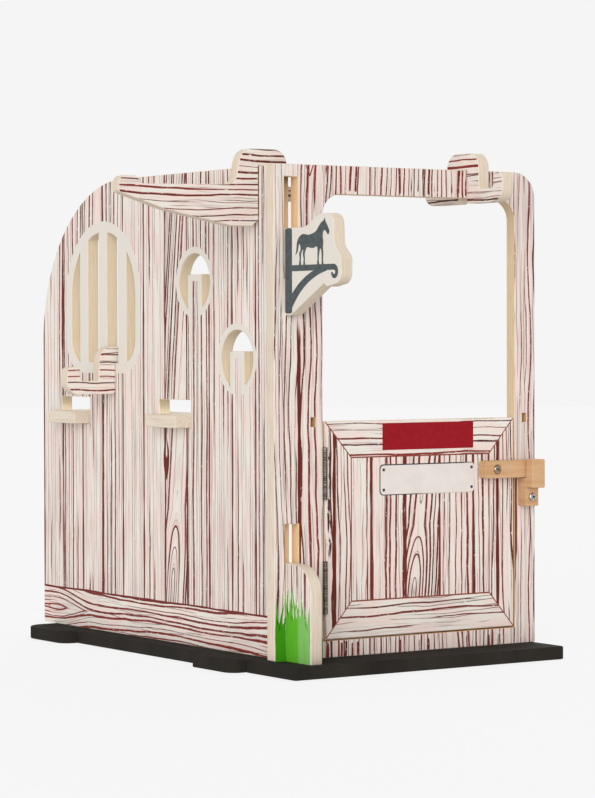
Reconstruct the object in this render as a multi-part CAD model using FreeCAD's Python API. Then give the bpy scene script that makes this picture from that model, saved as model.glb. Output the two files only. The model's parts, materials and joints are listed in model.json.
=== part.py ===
import FreeCAD, Part
import math
import os
from FreeCAD import Vector

# Toy stable of slotted plywood on a foam mat, sizes in millimetres.
# Pieces are drawn from the front panel's lower left front corner: X right, Y back, Z up from the
# mat's top. They are then moved so that the origin is the middle of the mat's underside.

# Sheets
PLY = 15.0
STABLE_HEIGHT = 545.0
PANEL_WIDTH = 363.0
WALL_DEPTH = 532.0
WALL_INSET = 15.0
EDGE_ROUND = 2.0

# Front panel
LEFT_STILE = 65.0
RIGHT_STILE = 30.0
TOP_RAIL = 32.0
SILL = 19.0
PANEL_CORNER_R = 30.0
OPENING_CORNER_R = 24.0
SLOT_WIDTH = 5.5
SLOT_HEIGHT = 10.0
SLOT_Z = 256.5
LEFT_SLOT_X = 49.0
RIGHT_SLOT_MARGIN = 13.0

# Mortises and the wall's hooked front ends
MORTISE_OUTER_PLAY = 0.5
MORTISE_INNER_PLAY = 2.5
MORTISE_HEAD_PLAY = 2.0
HOOK_DROP = 41.0
HOOK_FACE_GAP = 0.3
UPPER_MORTISE_MARGIN = 14.0
SIGN_NECK = 54.5
SIGN_HEAD = 68.0
SIGN_OUTLINE = (  # in front of the panel, above the neck's foot, corner radius
    (39.0, SIGN_NECK, 20.0),
    (65.0, SIGN_HEAD, 16.0),
    (92.0, SIGN_HEAD, 11.0),
    (95.0, 33.0, 14.0),
    (108.0, 21.0, 8.0),
    (108.0, -6.5, 13.0),
    (80.0, -11.0, 5.0),
    (74.5, -7.5, 3.0),
    (11.0, -HOOK_DROP, 4.0),
)
TUFT_HEIGHT = 107.0
TUFT_REACH = 49.0
TUFT_CORNER_R = 33.0

# Side wall cut-outs
WALL_CORNER_R = 195.0
WINDOW_WIDTH = 152.0
WINDOW_HEIGHT = 157.0
WINDOW_TOP_MARGIN = 62.5
WINDOW_BACK_MARGIN = 73.0
WINDOW_FOOT_R = 28.0
WINDOW_BAR = 20.0
WINDOW_PITCH = 46.0
SHOE_R = 33.0
SHOE_TONGUE = 30.0
SHOE_TONGUE_RISE = 9.0
SHOES = ((173.0, 126.5), (83.0, 214.5))  # centre behind the panel, centre below the wall's top
SHELF_HOLE_WIDTH = 70.0
SHELF_HOLE_HEIGHT = 32.0
SHELF_HOLE_Z = 251.0
SHELF_HOLE_BACK = 82.0
SHELF_HOLE_SPACING = 233.0

# Tack shelf
SHELF_DEPTH = 45.0
SHELF_OVERHANG = 15.0
TENON_SIDE_PLAY = 1.0
TENON_REACH = 20.5
SHELF_CORNER_R = 6.0

# Door
DOOR_HEIGHT = 241.5
DOOR_FOOT_GAP = 1.5
HINGE_GAP = 2.4
LATCH_GAP = 1.6

# Hinges
HINGE_HEIGHT = 58.5
HINGE_MARGIN = 28.5
KNUCKLES = 9
KNUCKLE_GAP = 0.15
BARREL_R = 2.5
BARREL_FORWARD = 2.4
PIN_R = 1.1
PIN_CLEARANCE = 0.05
LEAF = 0.9
LEAF_DEPTH = 12.5
LEAF_BARREL_GAP = 0.25
LEAF_SCREWS = 3
LEAF_SCREW_PITCH = 22.0
LEAF_SCREW_HEAD_R = 2.1
LEAF_SCREW_R = 1.1
LEAF_SCREW_LENGTH = 12.0

# Latch
LATCH_Z = 203.0
LATCH_BAR_HEIGHT = 20.0
LATCH_BAR_THICK = 12.5
LATCH_PIVOT_INSET = 33.0
LATCH_BAR_HEEL = 17.5
LATCH_END_R = 2.5
WASHER = 1.0
WASHER_R = 6.0
SCREW_R = 2.0
SCREW_HEAD_R = 5.0
SCREW_HEAD = 3.0
SCREW_BITE = 12.0
SCREW_SOCKET_R = 1.5
SCREW_SOCKET_DEPTH = 1.5
COUNTERBORE_R = 5.6
COUNTERBORE = 2.0
PIVOT_CLEARANCE = 0.08
KEEPER_MARGIN = 6.5
KEEPER_WIDTH = 18.5
KEEPER_HEIGHT = 33.0
KEEPER_THICK = 15.0
KEEPER_BLOCK_THICK = 12.0
KEEPER_BLOCK_RISE = 11.5
KEEPER_SEAT_GAP = 0.4
KEEPER_SCREW_INSET = 10.5
BAR_END_MARGIN = 5.0
KEEPER_EDGE_R = 1.5

# Hooks and rack, profiles measured from the edge that they sit on
SEAT_PLAY = 0.4
LOBE_RISE = 19.0
LOBE_HALF = 30.0
LOBE_R = 17.0
HOOK_HALF = 73.5
HOOK_TIP = 17.5
HOOK_TIP_FALL = 5.0
HOOK_FLOOR_FALL = 22.0
HOOK_FOOT_FALL = 38.0
HOOK_FOOT_R = 15.0
HOOK_TIP_R = 6.0
HOOK_FLOOR_R = 4.0
FRONT_HOOK_RIGHT = 84.0
RACK_ROOT_FALL = 60.0
RACK_ARM = (  # out from the wall's middle, above the seat, corner radius
    (16.0, -67.0, 4.0),
    (44.0, -67.0, 20.0),
    (127.0, -51.0, 90.0),
    (186.5, -33.0, 4.0),
    (186.5, -15.0, 9.0),
    (164.5, -15.0, 5.0),
    (156.5, -23.5, 5.0),
    (38.0, -21.0, 12.0),
)
RACK_BACK = 37.0

# Foam mat
MAT = 15.0
MAT_LEFT_MARGIN = 10.0
MAT_FRONT_MARGIN = 55.0
MAT_BACK_SHORT = 27.0
TAB_REACH = 20.0
TAB_R = 16.0
REAR_TAB_R = 26.0
TAB_PLAY = 0.5
FRONT_TAB_START = 98.0
FRONT_TAB_LENGTH = 80.0
REAR_TAB_LENGTH = 100.0
MAT_CORNER_R = 5.0

# Places that follow from the sizes above
WALL_X = WALL_INSET
WALL_INNER_X = WALL_X + PLY
WALL_MID_X = WALL_X + PLY / 2
WALL_FRONT_Y = PLY
WALL_BACK_Y = PLY + WALL_DEPTH
UPPER_MORTISE_HEIGHT = SIGN_HEAD + HOOK_DROP + MORTISE_HEAD_PLAY
UPPER_MORTISE_Z = STABLE_HEIGHT - UPPER_MORTISE_MARGIN - UPPER_MORTISE_HEIGHT
LOWER_MORTISE_HEIGHT = TUFT_HEIGHT + MORTISE_HEAD_PLAY
LOWER_MORTISE_Z = HOOK_DROP
OPENING_RIGHT = PANEL_WIDTH - RIGHT_STILE
OPENING_TOP = STABLE_HEIGHT - TOP_RAIL
DOOR_LEFT = LEFT_STILE + HINGE_GAP
DOOR_RIGHT = OPENING_RIGHT - LATCH_GAP
DOOR_Z = SILL + DOOR_FOOT_GAP
HINGE_X = LEFT_STILE + HINGE_GAP / 2
HINGE_Y = -BARREL_FORWARD
HINGE_STARTS = {
    "upper": DOOR_Z + DOOR_HEIGHT - HINGE_MARGIN - HINGE_HEIGHT,
    "lower": DOOR_Z + HINGE_MARGIN,
}
WINDOW_Y = WALL_BACK_Y - WINDOW_BACK_MARGIN - WINDOW_WIDTH / 2
WINDOW_Z = STABLE_HEIGHT - WINDOW_TOP_MARGIN - WINDOW_HEIGHT
REAR_HOLE_Y = WALL_BACK_Y - SHELF_HOLE_BACK
HOLE_CENTRES = (REAR_HOLE_Y - SHELF_HOLE_SPACING, REAR_HOLE_Y)
LATCH_PIVOT_X = DOOR_RIGHT - LATCH_PIVOT_INSET
LATCH_FOOT_Z = LATCH_Z - LATCH_BAR_HEIGHT / 2
KEEPER_RIGHT = PANEL_WIDTH - KEEPER_MARGIN
KEEPER_LEFT = KEEPER_RIGHT - KEEPER_WIDTH
KEEPER_TOP = LATCH_FOOT_Z - KEEPER_SEAT_GAP
MAT_LEFT = -MAT_LEFT_MARGIN
MAT_RIGHT = PANEL_WIDTH
MAT_FRONT = -MAT_FRONT_MARGIN
MAT_BACK = WALL_BACK_Y - MAT_BACK_SHORT
TO_ORIGIN = Vector(-(MAT_LEFT + MAT_RIGHT) / 2, -(MAT_FRONT + MAT_BACK) / 2, MAT)

# How each sheet lies: where a drawn point goes, and which way the sheet is thick
SHEET_PLANES = {
    "front": (lambda u, v, start: Vector(u, start, v), Vector(0, 1, 0)),
    "side": (lambda u, v, start: Vector(start, u, v), Vector(1, 0, 0)),
    "floor": (lambda u, v, start: Vector(u, v, start), Vector(0, 0, 1)),
}


def corner_points(before, corner, after, radius):
    """Start, middle and end of the arc that rounds one corner."""
    back = (before - corner).normalize()
    ahead = (after - corner).normalize()
    half_angle = back.getAngle(ahead) / 2
    reach = radius / math.tan(half_angle)
    inward = (back + ahead).normalize()
    middle = corner + inward * (radius / math.sin(half_angle) - radius)
    return corner + back * reach, middle, corner + ahead * reach


def sheet(plane, corners, start, thickness):
    """A flat sheet from corners (u, v) or (u, v, radius)."""
    to_space, normal = SHEET_PLANES[plane]
    points = [to_space(corner[0], corner[1], start) for corner in corners]
    radii = [corner[2] if len(corner) > 2 else 0.0 for corner in corners]
    edges = []
    joints = []
    for index, radius in enumerate(radii):
        corner = points[index]
        if radius > 0:
            after = points[(index + 1) % len(points)]
            joints.append(corner_points(points[index - 1], corner, after, radius))
        else:
            joints.append((corner, None, corner))
    for index, (arc_start, middle, arc_end) in enumerate(joints):
        line_start = joints[index - 1][2]
        if line_start.distanceToPoint(arc_start) > 1e-6:
            edges.append(Part.makeLine(line_start, arc_start))
        if middle is not None:
            edges.append(Part.Arc(arc_start, middle, arc_end).toShape())
    return Part.Face(Part.Wire(edges)).extrude(normal * thickness)


def rectangle(left, low, right, high, *radii):
    """Corners of a rectangle; radii are given for lower left, lower right, upper right, upper left."""
    rounds = radii if radii else (0.0, 0.0, 0.0, 0.0)
    spots = ((left, low), (right, low), (right, high), (left, high))
    return [spot + (radius,) for spot, radius in zip(spots, rounds)]


def box(low, high):
    size = high - low
    return Part.makeBox(size.x, size.y, size.z, low)


def pan_head_screw(head_seat, direction, length):
    """Round-headed screw: the head stands out of head_seat, the shank goes along direction."""
    shank = Part.makeCylinder(SCREW_R, length, head_seat, direction)
    head = Part.makeCylinder(SCREW_HEAD_R, SCREW_HEAD, head_seat, direction * -1)
    top = max(head.Edges, key=lambda edge: (edge.CenterOfMass - head_seat).dot(direction * -1))
    head = head.makeFillet(SCREW_HEAD * 0.6, [top])
    socket_foot = head_seat + direction * -(SCREW_HEAD - SCREW_SOCKET_DEPTH)
    socket = Part.makeCylinder(SCREW_SOCKET_R, SCREW_HEAD, socket_foot, direction * -1)
    return shank.fuse(head).cut(socket).removeSplitter()


def leaf_screw(seat, direction):
    """Countersunk screw whose flat head fills the leaf's thickness."""
    head = Part.makeCone(LEAF_SCREW_HEAD_R, LEAF_SCREW_R, LEAF, seat, direction)
    shank_length = LEAF_SCREW_LENGTH - LEAF
    shank = Part.makeCylinder(LEAF_SCREW_R, shank_length, seat + direction * LEAF, direction)
    return head.fuse(shank).removeSplitter()


def leaf_screws(side):
    """The screws of both hinges on one side: -1 into the stile, +1 into the door."""
    screws = []
    seat_x = HINGE_X + side * (HINGE_GAP / 2 - LEAF)
    for start in HINGE_STARTS.values():
        middle = start + HINGE_HEIGHT / 2
        for number in range(LEAF_SCREWS):
            z = middle + (number - (LEAF_SCREWS - 1) / 2) * LEAF_SCREW_PITCH
            seat = Vector(seat_x, LEAF_DEPTH / 2 + LEAF, z)
            screws.append(leaf_screw(seat, Vector(side, 0, 0)))
    return screws


def hinge_leaf(start, side, screws):
    """One leaf with its knuckles: side -1 on the stile, +1 on the door."""
    outer_x = HINGE_X + side * HINGE_GAP / 2
    inner_x = outer_x - side * LEAF
    low_x, high_x = min(outer_x, inner_x), max(outer_x, inner_x)
    plate_front = HINGE_Y + BARREL_R + LEAF_BARREL_GAP
    leaf = box(Vector(low_x, plate_front, start), Vector(high_x, LEAF_DEPTH, start + HINGE_HEIGHT))
    pitch = HINGE_HEIGHT / KNUCKLES
    bore_r = PIN_R if side < 0 else PIN_R + PIN_CLEARANCE
    first = 0 if side < 0 else 1
    for number in range(first, KNUCKLES, 2):
        low = start + number * pitch + KNUCKLE_GAP / 2
        height = pitch - KNUCKLE_GAP
        centre = Vector(HINGE_X, HINGE_Y, low)
        barrel = Part.makeCylinder(BARREL_R, height, centre)
        web = box(Vector(low_x, HINGE_Y, low), Vector(high_x, plate_front, low + height))
        bore = Part.makeCylinder(bore_r, height, centre)
        leaf = leaf.fuse(barrel.fuse(web).cut(bore))
    for screw in screws:
        leaf = leaf.cut(screw)
    return leaf.removeSplitter()


def hinge_pin(start):
    return Part.makeCylinder(PIN_R, HINGE_HEIGHT, Vector(HINGE_X, HINGE_Y, start))


def mortise(foot, height):
    left = WALL_X - MORTISE_OUTER_PLAY
    right = WALL_INNER_X + MORTISE_INNER_PLAY
    return sheet("front", rectangle(left, foot, right, foot + height), 0, PLY)


def accessory_slot(left):
    corners = rectangle(left, SLOT_Z, left + SLOT_WIDTH, SLOT_Z + SLOT_HEIGHT)
    return sheet("front", corners, 0, PLY)


def front_panel(screws):
    outer = rectangle(0, 0, PANEL_WIDTH, STABLE_HEIGHT,
                      EDGE_ROUND, EDGE_ROUND, PANEL_CORNER_R, EDGE_ROUND)
    opening = rectangle(LEFT_STILE, SILL, OPENING_RIGHT, OPENING_TOP,
                        0, 0, OPENING_CORNER_R, OPENING_CORNER_R)
    panel = sheet("front", outer, 0, PLY)
    cuts = [sheet("front", opening, 0, PLY)]
    cuts.append(mortise(LOWER_MORTISE_Z, LOWER_MORTISE_HEIGHT))
    cuts.append(mortise(UPPER_MORTISE_Z, UPPER_MORTISE_HEIGHT))
    cuts.append(accessory_slot(LEFT_SLOT_X))
    cuts.append(accessory_slot(PANEL_WIDTH - RIGHT_SLOT_MARGIN - SLOT_WIDTH))
    for cut in cuts + screws:
        panel = panel.cut(cut)
    return panel


def sign_corners():
    """Bracket sign in front of the panel, going forward along its top and back along its foot."""
    foot = UPPER_MORTISE_Z
    outline = [(-forward, foot + up, radius) for forward, up, radius in SIGN_OUTLINE]
    outline.append((-HOOK_FACE_GAP, foot - HOOK_DROP))
    outline.append((-HOOK_FACE_GAP, foot))
    return outline


def tuft_corners():
    """Grass tuft in front of the panel, from its top to the mat."""
    return [
        (-TUFT_REACH, TUFT_HEIGHT, TUFT_CORNER_R),
        (-TUFT_REACH, 0),
        (-HOOK_FACE_GAP, 0),
        (-HOOK_FACE_GAP, LOWER_MORTISE_Z),
    ]


def wall_corners():
    front = WALL_FRONT_Y
    outline = [(front, 0), (WALL_BACK_Y, 0, EDGE_ROUND)]
    outline.append((WALL_BACK_Y, STABLE_HEIGHT, WALL_CORNER_R))
    outline.append((front, STABLE_HEIGHT))
    outline.append((front, UPPER_MORTISE_Z + SIGN_NECK))
    outline += sign_corners()
    outline.append((front, UPPER_MORTISE_Z))
    outline.append((front, TUFT_HEIGHT))
    outline += tuft_corners()
    outline.append((front, LOWER_MORTISE_Z))
    return outline


def window_slots():
    """The barred window: an arched opening less its upright bars."""
    half = WINDOW_WIDTH / 2
    outline = rectangle(WINDOW_Y - half, WINDOW_Z, WINDOW_Y + half, WINDOW_Z + WINDOW_HEIGHT,
                        WINDOW_FOOT_R, WINDOW_FOOT_R, half, half)
    slots = sheet("side", outline, WALL_X, PLY)
    for number in (-1, 0, 1):
        middle = WINDOW_Y + number * WINDOW_PITCH
        low = Vector(WALL_X, middle - WINDOW_BAR / 2, WINDOW_Z)
        high = Vector(WALL_INNER_X, middle + WINDOW_BAR / 2, WINDOW_Z + WINDOW_HEIGHT)
        slots = slots.cut(box(low, high))
    return slots


def horseshoe(behind, below):
    """Round cut with a flat-topped tongue standing in it."""
    y = WALL_FRONT_Y + behind
    z = STABLE_HEIGHT - below
    disc = Part.makeCylinder(SHOE_R, PLY, Vector(WALL_X, y, z), Vector(1, 0, 0))
    low = Vector(WALL_X, y - SHOE_TONGUE / 2, z - SHOE_R)
    high = Vector(WALL_INNER_X, y + SHOE_TONGUE / 2, z + SHOE_TONGUE_RISE)
    return disc.cut(box(low, high))


def shelf_hole(centre):
    half = SHELF_HOLE_WIDTH / 2
    top = SHELF_HOLE_Z + SHELF_HOLE_HEIGHT
    return sheet("side", rectangle(centre - half, SHELF_HOLE_Z, centre + half, top), WALL_X, PLY)


def side_wall():
    wall = sheet("side", wall_corners(), WALL_X, PLY)
    cuts = [window_slots()]
    cuts += [horseshoe(behind, below) for behind, below in SHOES]
    cuts += [shelf_hole(centre) for centre in HOLE_CENTRES]
    for cut in cuts:
        wall = wall.cut(cut)
    return wall


def tack_shelf():
    """Flat board inside the wall with two tenons out through the shelf holes."""
    reach = SHELF_HOLE_WIDTH / 2 + SHELF_OVERHANG
    front, back = HOLE_CENTRES[0] - reach, HOLE_CENTRES[1] + reach
    board = rectangle(WALL_INNER_X, front, WALL_INNER_X + SHELF_DEPTH, back,
                      0, SHELF_CORNER_R, SHELF_CORNER_R, 0)
    shelf = sheet("floor", board, SHELF_HOLE_Z, PLY)
    half = SHELF_HOLE_WIDTH / 2 - TENON_SIDE_PLAY
    for centre in HOLE_CENTRES:
        low = Vector(WALL_X - TENON_REACH, centre - half, SHELF_HOLE_Z)
        high = Vector(WALL_INNER_X, centre + half, SHELF_HOLE_Z + PLY)
        shelf = shelf.fuse(box(low, high))
    return shelf.removeSplitter()


def door(screws):
    corners = rectangle(DOOR_LEFT, DOOR_Z, DOOR_RIGHT, DOOR_Z + DOOR_HEIGHT, *[EDGE_ROUND] * 4)
    leaf = sheet("front", corners, 0, PLY)
    for screw in screws:
        leaf = leaf.cut(screw)
    return leaf


def latch_screw():
    seat_y = -WASHER - LATCH_BAR_THICK + COUNTERBORE
    length = -seat_y + SCREW_BITE
    return pan_head_screw(Vector(LATCH_PIVOT_X, seat_y, LATCH_Z), Vector(0, 1, 0), length)


def latch_washer():
    centre = Vector(LATCH_PIVOT_X, -WASHER, LATCH_Z)
    ring = Part.makeCylinder(WASHER_R, WASHER, centre, Vector(0, 1, 0))
    return ring.cut(Part.makeCylinder(SCREW_R, WASHER, centre, Vector(0, 1, 0)))


def latch_bar():
    left = LATCH_PIVOT_X - LATCH_BAR_HEEL
    right = KEEPER_RIGHT - BAR_END_MARGIN
    front = -WASHER - LATCH_BAR_THICK
    corners = rectangle(left, LATCH_FOOT_Z, right, LATCH_FOOT_Z + LATCH_BAR_HEIGHT,
                        *[LATCH_END_R] * 4)
    bar = sheet("front", corners, front, LATCH_BAR_THICK)
    face = Vector(LATCH_PIVOT_X, front, LATCH_Z)
    bore = Part.makeCylinder(SCREW_R + PIVOT_CLEARANCE, LATCH_BAR_THICK, face, Vector(0, 1, 0))
    counterbore = Part.makeCylinder(COUNTERBORE_R, COUNTERBORE, face, Vector(0, 1, 0))
    return bar.cut(bore).cut(counterbore)


def keeper_spacer(screw):
    corners = rectangle(KEEPER_LEFT, KEEPER_TOP - KEEPER_HEIGHT, KEEPER_RIGHT, KEEPER_TOP,
                        *[KEEPER_EDGE_R] * 4)
    return sheet("front", corners, -KEEPER_THICK, KEEPER_THICK).cut(screw)


def keeper_block():
    foot = KEEPER_TOP - KEEPER_BLOCK_RISE
    corners = rectangle(KEEPER_LEFT, foot, KEEPER_RIGHT, foot + KEEPER_HEIGHT,
                        *[KEEPER_EDGE_R] * 4)
    return sheet("front", corners, -KEEPER_THICK - KEEPER_BLOCK_THICK, KEEPER_BLOCK_THICK)


def keeper_screw():
    x = (KEEPER_LEFT + KEEPER_RIGHT) / 2
    z = KEEPER_TOP - KEEPER_HEIGHT + KEEPER_SCREW_INSET
    seat = Vector(x, -KEEPER_THICK, z)
    return pan_head_screw(seat, Vector(0, 1, 0), KEEPER_THICK + SCREW_BITE)


def half_hook():
    """One side of a hook, from its seat round its foot and tip to the lobe above the seat."""
    groove = PLY / 2 + SEAT_PLAY
    return [
        (groove, 0),
        (groove, -HOOK_FOOT_FALL, HOOK_FLOOR_R),
        (HOOK_HALF, -HOOK_FOOT_FALL, HOOK_FOOT_R),
        (HOOK_HALF, -HOOK_TIP_FALL, HOOK_TIP_R),
        (HOOK_HALF - HOOK_TIP, -HOOK_TIP_FALL, HOOK_TIP_R),
        (HOOK_HALF - HOOK_TIP, -HOOK_FLOOR_FALL, HOOK_FLOOR_R),
        (LOBE_HALF, -HOOK_FLOOR_FALL, HOOK_FLOOR_R),
        (LOBE_HALF, LOBE_RISE, LOBE_R),
    ]


def hook_corners(middle, seat):
    """Double hook astride an edge: middle is the edge's middle plane, seat its top."""
    half = half_hook()
    mirrored = [(-corner[0],) + corner[1:] for corner in reversed(half)]
    return [(middle + corner[0], seat + corner[1]) + corner[2:] for corner in half + mirrored]


def bridle_hook_front():
    left = PANEL_WIDTH - FRONT_HOOK_RIGHT - PLY
    return sheet("side", hook_corners(PLY / 2, STABLE_HEIGHT), left, PLY)


def bridle_hook_window():
    """In the window slot in front of the middle bar, seated on the window's sill."""
    slot_middle = WINDOW_Y - WINDOW_PITCH / 2
    return sheet("front", hook_corners(WALL_MID_X, WINDOW_Z), slot_middle - PLY / 2, PLY)


def saddle_rack():
    """Long tapering arm outside the wall with one side of a hook inside it."""
    groove = PLY / 2 + SEAT_PLAY
    profile = [(-groove, 0), (-groove, -RACK_ROOT_FALL)]
    profile += [(-out, above, radius) for out, above, radius in RACK_ARM]
    profile.append((-LOBE_HALF, LOBE_RISE, LOBE_R))
    profile += reversed(half_hook())
    corners = [(WALL_MID_X + corner[0], STABLE_HEIGHT + corner[1]) + corner[2:] for corner in profile]
    return sheet("front", corners, WALL_FRONT_Y + RACK_BACK, PLY)


def base_mat():
    """Foam tile: tabs on its left edge, matching sockets on its right edge."""
    tab_start = MAT_FRONT + FRONT_TAB_START
    tab_end = tab_start + FRONT_TAB_LENGTH
    rear_start = MAT_BACK - REAR_TAB_LENGTH
    tab_x = MAT_LEFT - TAB_REACH
    corners = [
        (MAT_LEFT, MAT_FRONT, MAT_CORNER_R),
        (MAT_RIGHT, MAT_FRONT, MAT_CORNER_R),
        (MAT_RIGHT, tab_start - TAB_PLAY),
        (MAT_RIGHT - TAB_REACH, tab_start - TAB_PLAY, TAB_R - TAB_PLAY),
        (MAT_RIGHT - TAB_REACH, tab_end + TAB_PLAY, TAB_R - TAB_PLAY),
        (MAT_RIGHT, tab_end + TAB_PLAY),
        (MAT_RIGHT, rear_start - TAB_PLAY),
        (MAT_RIGHT - TAB_REACH, rear_start - TAB_PLAY, TAB_R - TAB_PLAY),
        (MAT_RIGHT - TAB_REACH, MAT_BACK),
        (tab_x, MAT_BACK, REAR_TAB_R),
        (tab_x, rear_start, TAB_R),
        (MAT_LEFT, rear_start),
        (MAT_LEFT, tab_end),
        (tab_x, tab_end, EDGE_ROUND),
        (tab_x, tab_start, TAB_R),
        (MAT_LEFT, tab_start),
    ]
    return sheet("floor", corners, -MAT, MAT)


def build():
    frame_screws = leaf_screws(-1)
    door_screws = leaf_screws(1)
    pivot = latch_screw()
    holding = keeper_screw()
    pieces = {
        "base_mat": base_mat(),
        "front_panel": front_panel(frame_screws + [holding]),
        "side_wall": side_wall(),
        "door": door(door_screws + [pivot]),
        "hinge_frame_screws": Part.makeCompound(frame_screws),
        "hinge_door_screws": Part.makeCompound(door_screws),
        "latch_bar": latch_bar(),
        "latch_screw": pivot,
        "latch_washer": latch_washer(),
        "keeper_spacer": keeper_spacer(holding),
        "keeper_block": keeper_block(),
        "keeper_screw": holding,
        "bridle_hook_front": bridle_hook_front(),
        "bridle_hook_window": bridle_hook_window(),
        "saddle_rack": saddle_rack(),
        "tack_shelf": tack_shelf(),
    }
    for name, start in HINGE_STARTS.items():
        pieces[f"hinge_{name}_frame_leaf"] = hinge_leaf(start, -1, frame_screws)
        pieces[f"hinge_{name}_door_leaf"] = hinge_leaf(start, 1, door_screws)
        pieces[f"hinge_{name}_pin"] = hinge_pin(start)
    return pieces


os.makedirs("parts", exist_ok=True)
for node, shape in build().items():
    shape.translate(TO_ORIGIN)
    shape.exportStep(f"parts/{node}.step")
    print(node, "solids", len(shape.Solids), "volume", round(shape.Volume), "valid", shape.isValid())
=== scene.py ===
# Looks of the toy stable: printed plywood, beech latch, steel hinges and screws, foam mat.
# Places are in millimetres from the front panel's lower left front corner: x right, y back, z up.
import json
import math
from collections import namedtuple

import bmesh
import bpy
from mathutils import Matrix, Vector

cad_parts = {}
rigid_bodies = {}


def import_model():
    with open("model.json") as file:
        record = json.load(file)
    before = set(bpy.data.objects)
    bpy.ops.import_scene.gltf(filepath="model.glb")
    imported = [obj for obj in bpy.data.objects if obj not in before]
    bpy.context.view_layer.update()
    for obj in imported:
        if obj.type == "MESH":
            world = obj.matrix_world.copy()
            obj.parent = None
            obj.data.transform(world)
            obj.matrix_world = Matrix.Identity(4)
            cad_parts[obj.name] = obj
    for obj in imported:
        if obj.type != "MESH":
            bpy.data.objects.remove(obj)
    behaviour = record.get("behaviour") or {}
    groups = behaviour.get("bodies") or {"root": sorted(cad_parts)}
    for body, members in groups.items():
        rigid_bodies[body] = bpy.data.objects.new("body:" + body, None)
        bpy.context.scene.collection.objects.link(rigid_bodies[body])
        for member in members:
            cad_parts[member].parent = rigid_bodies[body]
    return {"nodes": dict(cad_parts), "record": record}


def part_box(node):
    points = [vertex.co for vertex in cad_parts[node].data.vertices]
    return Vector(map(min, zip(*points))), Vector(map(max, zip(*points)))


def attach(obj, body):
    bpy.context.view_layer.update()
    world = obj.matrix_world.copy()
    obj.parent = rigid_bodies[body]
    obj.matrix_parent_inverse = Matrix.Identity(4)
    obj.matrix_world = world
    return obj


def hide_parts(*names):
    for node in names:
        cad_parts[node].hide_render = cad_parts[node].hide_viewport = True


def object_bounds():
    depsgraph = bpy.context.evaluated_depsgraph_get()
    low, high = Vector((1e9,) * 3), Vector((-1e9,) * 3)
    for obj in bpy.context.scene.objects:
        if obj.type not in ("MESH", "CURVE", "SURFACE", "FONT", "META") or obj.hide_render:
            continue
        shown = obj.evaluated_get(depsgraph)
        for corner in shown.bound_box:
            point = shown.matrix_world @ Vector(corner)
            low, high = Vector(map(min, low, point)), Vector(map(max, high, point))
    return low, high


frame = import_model()
CAD_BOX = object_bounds()

MM = 0.001
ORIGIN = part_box("front_panel")[0]


def corners_mm(node):
    """Lowest and highest corner of a node, in millimetres from the panel's corner."""
    low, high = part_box(node)
    return (low - ORIGIN) / MM, (high - ORIGIN) / MM


def tint(red, green, blue):
    """Shader colour of a tone given in display values from 0 to 255."""
    linear = []
    for value in (red / 255, green / 255, blue / 255):
        linear.append(value / 12.92 if value <= 0.04045 else ((value + 0.055) / 1.055) ** 2.4)
    return (*linear, 1.0)


# Tones
PRINT_CREAM = tint(232, 227, 217)
PRINT_PINK = tint(236, 216, 207)
PRINT_SHADE = tint(213, 197, 190)
RAW_PALE = tint(226, 213, 196)
RAW_TAN = tint(209, 189, 163)
CUT_TAN = tint(223, 201, 170)
CUT_DEEP = tint(213, 183, 142)
# Painted shade: deeper browns for cut edges in the gaps beside the door and in the slots
GAP_SHADE_TAN = tint(208, 168, 122)
GAP_SHADE_DEEP = tint(184, 134, 88)
REVEAL_PALE = tint(222, 208, 184)
REVEAL_TAN = tint(213, 191, 159)
# Painted light: near-white reveals for the shelf holes, lighter than raw wood, as if lit through the holes
LIT_HOLE_PALE = tint(250, 240, 215)
LIT_HOLE_TAN = tint(242, 228, 196)
MORTISE_TAN = tint(240, 211, 172)
MORTISE_DEEP = tint(229, 194, 149)
BARE_FACE = tint(224, 217, 207)
INK_DARK = tint(72, 40, 36)
INK_RED = tint(134, 48, 40)
INK_GREY = tint(122, 111, 108)
INK_PINK = tint(180, 146, 140)
JOINT_INK = tint(114, 44, 37)
STROKE_INK = tint(104, 38, 28)
MITRE_INK = tint(138, 66, 50)
BROWN_INK = tint(118, 64, 40)
IRON_PRINT = tint(72, 80, 82)
IRON_PALE = tint(86, 94, 96)
CRIMSON = tint(146, 12, 26)
CRIMSON_PALE = tint(153, 18, 32)
PLATE_FACE = tint(224, 215, 208)
PLATE_PALE = tint(230, 222, 215)
PLATE_LINE = tint(58, 64, 70)
PLATE_LINE_PALE = tint(84, 90, 96)
GRASS_DEEP = tint(60, 148, 14)
GRASS_MID = tint(94, 178, 42)
GRASS_LIGHT = tint(128, 190, 98)
BEECH_PALE = tint(212, 173, 133)
BEECH_WARM = tint(198, 153, 110)
HINGE_DARK = tint(56, 50, 43)
HINGE_PALE = tint(152, 141, 126)
SCREW_PALE = tint(222, 220, 216)
SCREW_GREY = tint(172, 167, 160)
BRASSY_PALE = tint(206, 188, 170)
BRASSY_DARK = tint(148, 126, 106)
# Painted shade: dark steel for the screws' cross recesses
RECESS_SHADE_DARK = tint(64, 58, 52)
RECESS_SHADE_PALE = tint(96, 88, 80)
FOAM_DARK = tint(31, 28, 24)
FOAM_PALE = tint(48, 44, 38)
BACKDROP = tint(245, 245, 245)

# Sheets and their print, from the frame
PANEL_LOW, PANEL_HIGH = corners_mm("front_panel")
WALL_LOW, WALL_HIGH = corners_mm("side_wall")
DOOR_LOW, DOOR_HIGH = corners_mm("door")
PLY = PANEL_HIGH.y - PANEL_LOW.y
EASED_EDGE = 1.2
SHELF_EASE = 1.0
MAT_EASE = 1.6
LATCH_EASE = 0.8
FACE_SKIN = 0.25
PLY_LAYER = PLY / 7

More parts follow.
